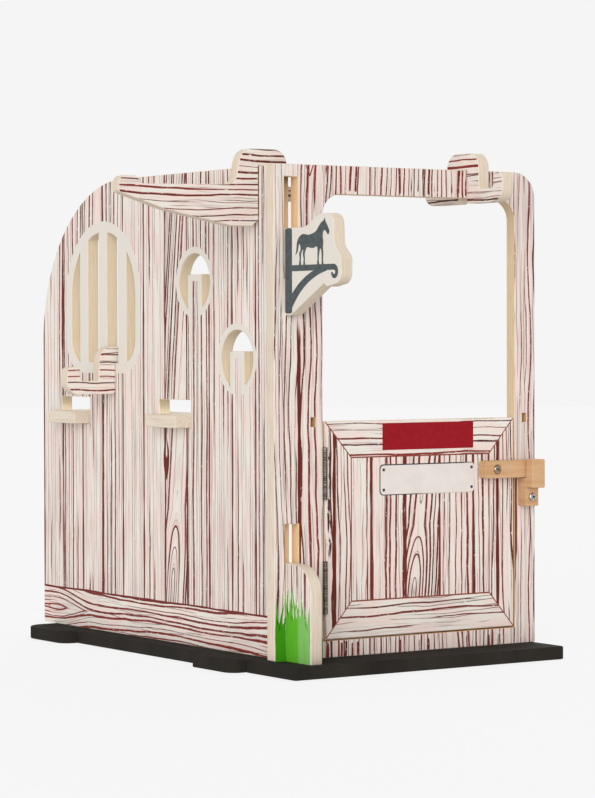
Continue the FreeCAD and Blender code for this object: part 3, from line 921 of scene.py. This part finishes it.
def smooth_outline(points, steps=5):
    """Closed curve through points; a third value of 1 keeps that point as a corner."""
    outline = []
    count = len(points)
    for index in range(count):
        nearby = [points[(index + offset) % count] for offset in (-1, 0, 1, 2)]
        before, start, end, after = (Vector(point[:2]) for point in nearby)
        leave = Vector((0, 0)) if len(points[index]) > 2 else (end - before) / 2
        arrive = Vector((0, 0)) if len(points[(index + 1) % count]) > 2 else (after - start) / 2
        for step in range(steps):
            t = step / steps
            spot = (start * (2 * t**3 - 3 * t**2 + 1) + leave * (t**3 - 2 * t**2 + t)
                    + end * (3 * t**2 - 2 * t**3) + arrive * (t**3 - t**2))
            outline.append(tuple(spot))
    return outline


def band(path, start_width, end_width):
    """Outline of a stroke along a path whose width changes evenly."""
    left, right = [], []
    last = len(path) - 1
    for index, point in enumerate(path):
        before = Vector(path[max(index - 1, 0)])
        after = Vector(path[min(index + 1, last)])
        across = (after - before).normalized().orthogonal()
        half = (start_width + (end_width - start_width) * index / last) / 2
        left.append(tuple(Vector(point) + across * half))
        right.append(tuple(Vector(point) - across * half))
    return left + right[::-1]


def bow(start, pull, end, steps=14):
    """Points of a simple curve drawn towards one pulling point."""
    points = []
    for step in range(steps + 1):
        t = step / steps
        points.append(tuple(
            (1 - t) ** 2 * a + 2 * t * (1 - t) * b + t**2 * c for a, b, c in zip(start, pull, end)))
    return points


# Bracket sign: an iron bracket with a scroll, and a standing horse
BRACKET_WIDTH = 6.6
BRACKET_TOP = 430.2
BRACKET_UPRIGHT = (0.6, WALL_LOW.z + 381.0, 14.0, 474.0)
BRACKET_UPRIGHT_R = 3.0
BRACE_FOOT = (8.0, 388.0)
BRACE_PULL = (34.0, 422.0)
BRACE_HEAD = (80.0, BRACKET_TOP - 1.0)
BRACE_WIDTHS = (11.0, 6.0)
BAR_POINTS = (9.0, 50.0)
SCROLL_U = 94.5
SCROLL_R = 5.8
SCROLL_SHRINK = 0.4
SCROLL_TIP = 3.4
HOOF_SINK = 0.5
HORSE_LENGTH = 0.68
HORSE_HEIGHT = 0.58
HORSE_START = 20.0
HORSE = (  # standing, facing right, feet at height 0; a third value of 1 marks a corner
    (97, 61.5), (95, 66), (91, 73), (87, 79), (83.5, 87, 1), (81, 81.5), (76, 79), (70, 74), (64.5, 67.5),
    (59, 62), (54, 60), (46, 57.5), (38, 56.5), (30, 57.5), (23, 58.5), (16, 56), (9, 50), (5, 40), (4, 30),
    (1, 19, 1), (7.5, 26), (10.5, 37), (13.5, 40), (16, 30), (12, 23), (13, 14), (12, 6), (11, 0, 1),
    (17.5, 0, 1), (16.5, 7), (17, 15), (18, 23), (23.5, 30), (22.5, 21), (24.5, 13), (24, 6), (23, 0, 1),
    (29.5, 0, 1), (28, 6), (28, 14), (28, 22), (34, 33), (43, 32), (53, 31.5), (62, 34), (64, 27), (63.5, 19),
    (64, 12), (63, 6), (62.5, 0, 1), (69, 0, 1), (67.5, 6), (67.5, 13), (68.5, 20), (71.5, 30), (74.5, 25),
    (75.5, 18), (75.5, 11), (75.5, 5), (75, 0, 1), (81.5, 0, 1), (79.5, 6), (79.5, 13), (80, 21), (79, 31),
    (80, 43), (78.5, 52), (80, 60.5), (84.5, 63.5), (88, 60.5), (91.5, 56), (95.5, 56),
)


def scroll():
    """Bar along the bracket's top that curls under at its end."""
    path = [(u, BRACKET_TOP) for u in BAR_POINTS]
    middle = BRACKET_TOP - SCROLL_R
    steps = 22
    for step in range(steps + 1):
        angle = math.radians(90 - 270 * step / steps)
        radius = SCROLL_R * (1 - SCROLL_SHRINK * step / steps)
        path.append((SCROLL_U + radius * math.cos(angle), middle + radius * math.sin(angle)))
    return band(path, BRACKET_WIDTH, SCROLL_TIP)


def bracket_outlines():
    upright = rounded_rectangle(*BRACKET_UPRIGHT, BRACKET_UPRIGHT_R)
    brace = band(bow(BRACE_FOOT, BRACE_PULL, BRACE_HEAD), *BRACE_WIDTHS)
    return [upright, scroll(), brace]


def horse_outline():
    foot = BRACKET_TOP + BRACKET_WIDTH / 2 - HOOF_SINK
    return [(HORSE_START + u * HORSE_LENGTH, foot + v * HORSE_HEIGHT) for u, v in smooth_outline(HORSE)]


def add_sign_print():
    iron = ink_film("iron_print", IRON_PRINT, IRON_PALE, 6.0)
    sides = {"outside": on_wall_outside, "inside": on_wall_inside}
    for side, place in sides.items():
        bracket = plate_mesh("bracket", bracket_outlines(), place, FILM)
        add_piece(f"sign_bracket_{side}", bracket, "frame", iron)
        horse = plate_mesh("horse", [horse_outline()], place, FILM)
        add_piece(f"sign_horse_{side}", horse, "frame", iron)


# Grass at the panel's foot and on the tuft: number of blades, height of their foot and of the tallest
SIGN_PAST_TUFT = 60.0
TUFT_REACH = -WALL_LOW.y - SIGN_PAST_TUFT
TUFT_GRASS = (9, 39.0, 92.0)
LEFT_GRASS = (3, 34.0, 74.0)
RIGHT_GRASS = (7, 20.0, 40.0)
PAST_EASE = 0.2
PAST_MORTISE = 1.0
GRASS_MARGIN = 0.3
GRASS_ROWS = 3
ROW_FALL = 0.12
ROW_SEED = 1.3
BLADE_LEAN = 1.3
BLADE_SWELL = 0.35
BLADE_VARIETY = 0.15
BLADE_FALL = 0.28
FOOT_VARIETY = 0.2


def grass_outline(start, end, count, foot, tallest, seed):
    """A solid foot that ends in a row of pointed blades."""
    step = (end - start) / count
    outline = [(start, 0.0), (end, 0.0)]
    valley = (end, foot)
    for number in reversed(range(count)):
        root = start + step * (number + 0.5)
        lean = step * BLADE_LEAN * math.sin(number * 1.7 + seed * 2)
        variety = 1 - BLADE_VARIETY + BLADE_VARIETY * math.sin(number * 2.4 + seed)
        height = tallest * variety * (1 - BLADE_FALL * number / count)
        tip = (min(max(root + lean, start + GRASS_MARGIN), end - GRASS_MARGIN), height)
        middle = (foot + height) / 2
        swell = step * BLADE_SWELL
        outline += bow(valley, (root + swell, middle), tip, 5)
        valley = (start + step * number, foot * (1 + FOOT_VARIETY * math.sin(number * 3.1 + seed)))
        outline += bow(tip, (root - swell, middle), valley, 5)[1:-1]
    return outline + [valley]


def grass_outlines(start, end, blades, foot, tallest):
    """Rows of blades, each lower than the one behind."""
    outlines = []
    for row in range(GRASS_ROWS):
        row_height = tallest * (1 - ROW_FALL * row)
        outlines.append(grass_outline(start, end, blades + row, foot, row_height, row * ROW_SEED))
    return outlines


def add_grass():
    green = grass_ink()
    tuft = grass_outlines(GRASS_MARGIN, TUFT_REACH - EASED_EDGE, *TUFT_GRASS)
    left = grass_outlines(EASED_EDGE + PAST_EASE, MORTISE_LEFT, *LEFT_GRASS)
    right = grass_outlines(MORTISE_RIGHT + PAST_MORTISE, OPENING_LEFT - EASED_EDGE, *RIGHT_GRASS)
    patches = {
        "tuft_outside": (tuft, on_wall_outside),
        "tuft_inside": (tuft, on_wall_inside),
        "panel_left": (left, on_front),
        "panel_right": (right, on_front),
    }
    for name, (outlines, place) in patches.items():
        mesh = plate_mesh("grass", outlines, place, FILM)
        add_piece(f"grass_{name}", mesh, "frame", green)


# Plaque and name plate on the door
def add_door_plates():
    crimson = ink_film("plaque_crimson", CRIMSON, CRIMSON_PALE, 8.0)
    face = ink_film("name_plate_face", PLATE_FACE, PLATE_PALE, 20.0)
    nail = ink_film("name_plate_nail", PLATE_LINE, PLATE_LINE_PALE, 5.0)
    left, low, right, high = NAME_PLATE
    rim_left, rim_low, rim_right, rim_high = PLATE_RIM
    inner = rounded_rectangle(
        left + rim_left, low + rim_low, right - rim_right, high - rim_high, PLATE_INNER_R)
    dots = []
    for dot_x in (left + DOT_FROM_LEFT, right - DOT_FROM_RIGHT):
        for dot_z in (low + DOT_FROM_END, high - DOT_FROM_END):
            dots.append(arc(dot_x, dot_z, DOT_R, 0, 337.5, 15))
    plates = (
        ("door_plaque", [rounded_rectangle(*PLAQUE, PLAQUE_R)], FILM, crimson),
        ("name_plate_rim", [rounded_rectangle(*NAME_PLATE, NAME_PLATE_R)], FILM, plate_line()),
        ("name_plate", [inner], FILM * 2, face),
        ("name_plate_dots", dots, FILM * 3, nail),
    )
    for name, outlines, thickness, material in plates:
        add_piece(name, plate_mesh(name, outlines, on_front, thickness), "door", material)


def add_sheets():
    front, side, level = 1, 0, 2
    sheets = (
        ("front_panel", front, panel_print, panel_cut),
        ("door", front, door_print, door_cut),
        ("side_wall", side, wall_print, wall_cut),
        ("bridle_hook_front", side, hook_front_print, None),
        ("bridle_hook_window", front, hook_window_print, None),
        ("saddle_rack", front, rack_print, None),
    )
    for node, axis, face_print, cut in sheets:
        low, high = corners_mm(node)
        material = printed_ply(f"{node}_ply", axis, low, high, face_print, cut)
        eased_sheet(node, axis, EASED_EDGE, material)
    eased_sheet("tack_shelf", None, SHELF_EASE, bare_ply())
    mat = eased_sheet("base_mat", level, MAT_EASE, foam())
    wood = beech()
    for node in ("latch_bar", "keeper_spacer", "keeper_block"):
        eased_sheet(node, None, LATCH_EASE, wood)


# Cross-recessed screws of the latch and its keeper
SCREW_R = 2.0
SCREW_HEAD_R = 5.0
SCREW_HEAD = 3.0
SCREW_RIM = 1.0
RECESS_REACH = 2.7
RECESS_HALF = 0.6
RECESS_DEPTH = 1.9
RECESS_TAPER = 0.35
RECESS_CLEAR = 0.5
RECESS_SINK = 0.15


def dome_height(aside):
    """Height of the head's dome above its seat, at a distance from the screw's axis."""
    return SCREW_RIM + (SCREW_HEAD - SCREW_RIM) * math.sqrt(max(1 - (aside / SCREW_HEAD_R) ** 2, 0.0))


def screw_profile(shank):
    """Radius and height above the head's seat, from the point up to the middle of the head."""
    profile = [(0.0, -shank), (SCREW_R * 0.5, -shank + 1.0), (SCREW_R, -shank + 4.0), (SCREW_R, 0.0)]
    profile.append((SCREW_HEAD_R, 0.0))
    for step in range(7):
        radius = SCREW_HEAD_R * math.cos(math.radians(15 * step))
        profile.append((radius, dome_height(radius)))
    return profile


def turned_mesh(profile, seat):
    """Closed turned form about an axis that runs to the front from its seat."""
    segments = 32
    mesh = bmesh.new()
    rings = []
    for radius, height in profile:
        ring = []
        for step in range(segments if radius > WELD else 1):
            angle = 2 * math.pi * step / segments
            offset = Vector((radius * math.cos(angle), -height, radius * math.sin(angle)))
            ring.append(mesh.verts.new(seat + offset * MM))
        rings.append(ring)
    for below, above in zip(rings, rings[1:]):
        for step in range(segments):
            corners = [below[step % len(below)], below[(step + 1) % len(below)],
                       above[(step + 1) % len(above)], above[step % len(above)]]
            mesh.faces.new(list(dict.fromkeys(corners)))
    bmesh.ops.recalc_face_normals(mesh, faces=mesh.faces)
    result = bpy.data.meshes.new("turned")
    mesh.to_mesh(result)
    mesh.free()
    return result


def recess_mesh(seat, turn):
    """Tapered blade that cuts one arm of the cross recess."""
    mesh = bmesh.new()
    bmesh.ops.create_cube(mesh, size=2.0)
    for vertex in mesh.verts:
        narrow = RECESS_TAPER if vertex.co.y > 0 else 1.0
        depth = SCREW_HEAD - RECESS_DEPTH if vertex.co.y > 0 else SCREW_HEAD + RECESS_CLEAR
        across = Vector((vertex.co.x * RECESS_REACH * narrow, 0.0, vertex.co.z * RECESS_HALF * narrow))
        across.rotate(Matrix.Rotation(turn, 3, "Y"))
        vertex.co = seat + (across + Vector((0.0, -depth, 0.0))) * MM
    bmesh.ops.recalc_face_normals(mesh, faces=mesh.faces)
    result = bpy.data.meshes.new("recess")
    mesh.to_mesh(result)
    mesh.free()
    return result


def carved(mesh, cutters):
    """The mesh with the cutters taken out of it."""
    scene = bpy.context.scene.collection.objects
    blank = bpy.data.objects.new("blank", mesh)
    scene.link(blank)
    tools = []
    for cutter in cutters:
        tool = bpy.data.objects.new("tool", cutter)
        scene.link(tool)
        tools.append(tool)
        cut = blank.modifiers.new("cut", "BOOLEAN")
        cut.operation = "DIFFERENCE"
        cut.solver = "EXACT"
        cut.object = tool
    result = bpy.data.meshes.new_from_object(blank.evaluated_get(bpy.context.evaluated_depsgraph_get()))
    for spare in (blank, *tools):
        bpy.data.objects.remove(spare)
    return result


def add_screws():
    steels = {
        "latch_screw": screw_steel("latch_screw_steel", BRASSY_DARK, BRASSY_PALE),
        "keeper_screw": screw_steel("keeper_screw_steel", SCREW_GREY, SCREW_PALE),
    }
    # Painted shade: the cross recess gets a dark steel
    recess = screw_steel("screw_recess_shade", RECESS_SHADE_DARK, RECESS_SHADE_PALE)
    for node, turn in (("latch_screw", 20.0), ("keeper_screw", 55.0)):
        low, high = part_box(node)
        seat = Vector(((low.x + high.x) / 2, low.y + SCREW_HEAD * MM, (low.z + high.z) / 2))
        shank = (high.y - seat.y) / MM
        arms = [recess_mesh(seat, math.radians(angle)) for angle in (turn, turn + 90)]
        mesh = carved(turned_mesh(screw_profile(shank), seat), arms)
        piece = add_piece(f"{node}_head", mesh, body_of_node(node), steels[node])
        mesh.materials.append(recess)
        # Painted shade: faces sunk below the dome within the recess's reach take the dark recess steel
        for face in mesh.polygons:
            aside = Vector((face.center.x - seat.x, face.center.z - seat.z)).length / MM
            height = (seat.y - face.center.y) / MM
            sunk = 0.0 < height < dome_height(aside) - RECESS_SINK
            face.material_index = int(sunk and aside < RECESS_REACH)
            face.use_smooth = face.material_index == 0
        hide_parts(node)


def dress_metal():
    hinge = hinge_steel()
    washer = screw_steel("washer_steel", BRASSY_DARK, BRASSY_PALE)
    for name, node in frame["nodes"].items():
        if name.startswith("hinge_"):
            node.data.materials.clear()
            node.data.materials.append(hinge)
    washer_mesh = frame["nodes"]["latch_washer"].data
    washer_mesh.materials.clear()
    washer_mesh.materials.append(washer)


# Studio, in metres; each sun has a strength, and a tilt and a turn in degrees
AMBIENT = 0.7
FLOOR_GLOW = 0.915
FLOOR_GREY = (0.1, 0.1, 0.1, 1.0)
FLOOR_R = 12.0
FLOOR_GAP = 0.0005
SUNS = {"key": (1.8, 76, -45), "fill": (0.9, 60, 135)}
SUN_SPREAD = math.radians(50)


def backdrop_strength(tree):
    """Full brightness of the backdrop where it is looked at, less where it lights the object."""
    path = tree.nodes.new("ShaderNodeLightPath")
    return Field(tree, path.outputs["Is Camera Ray"]) * (1 - AMBIENT) + AMBIENT


def add_floor():
    """Pale floor that glows a little, so that it runs into the backdrop without an edge."""
    mesh = bmesh.new()
    bmesh.ops.create_circle(mesh, cap_ends=True, segments=128, radius=FLOOR_R)
    data = bpy.data.meshes.new("floor")
    mesh.to_mesh(data)
    mesh.free()
    floor_object = bpy.data.objects.new("floor", data)
    floor_object.location.z = CAD_BOX[0].z - FLOOR_GAP
    bpy.context.scene.collection.objects.link(floor_object)
    material, tree = surface("floor", 1.0, 0.0)
    shader = tree.nodes["Principled BSDF"]
    shader.inputs["Base Color"].default_value = FLOOR_GREY
    shader.inputs["Emission Color"].default_value = BACKDROP
    plug(tree, backdrop_strength(tree) * FLOOR_GLOW, shader.inputs["Emission Strength"])
    data.materials.append(material)
    floor_object.visible_shadow = False


def add_light():
    world = bpy.data.worlds.new("studio")
    world.use_nodes = True
    background = world.node_tree.nodes["Background"]
    background.inputs["Color"].default_value = BACKDROP
    plug(world.node_tree, backdrop_strength(world.node_tree), background.inputs["Strength"])
    bpy.context.scene.world = world
    for name, (energy, tilt, turn) in SUNS.items():
        sun = bpy.data.lights.new(name, "SUN")
        sun.energy = energy
        sun.angle = SUN_SPREAD
        lamp = bpy.data.objects.new(name, sun)
        lamp.rotation_euler = (math.radians(tilt), 0.0, math.radians(turn))
        bpy.context.scene.collection.objects.link(lamp)


def add_camera():
    camera = bpy.data.objects.new("camera", bpy.data.cameras.new("camera"))
    camera.data.sensor_fit = "HORIZONTAL"
    camera.data.sensor_width = SENSOR
    camera.data.lens = CAMERA_LENS
    turn = Matrix.Rotation(CAMERA_YAW, 4, "Z")
    tilt = Matrix.Rotation(math.pi / 2 + CAMERA_PITCH, 4, "X")
    roll = Matrix.Rotation(CAMERA_ROLL, 4, "Z")
    camera.matrix_world = Matrix.Translation(CAMERA_PLACE) @ turn @ tilt @ roll
    bpy.context.scene.collection.objects.link(camera)
    bpy.context.scene.camera = camera


add_camera()
add_light()
add_floor()
add_sheets()
add_sign_print()
add_grass()
add_door_plates()
add_screws()
dress_metal()
bpy.context.scene.view_settings.view_transform = "Standard"

bpy.context.view_layer.update()
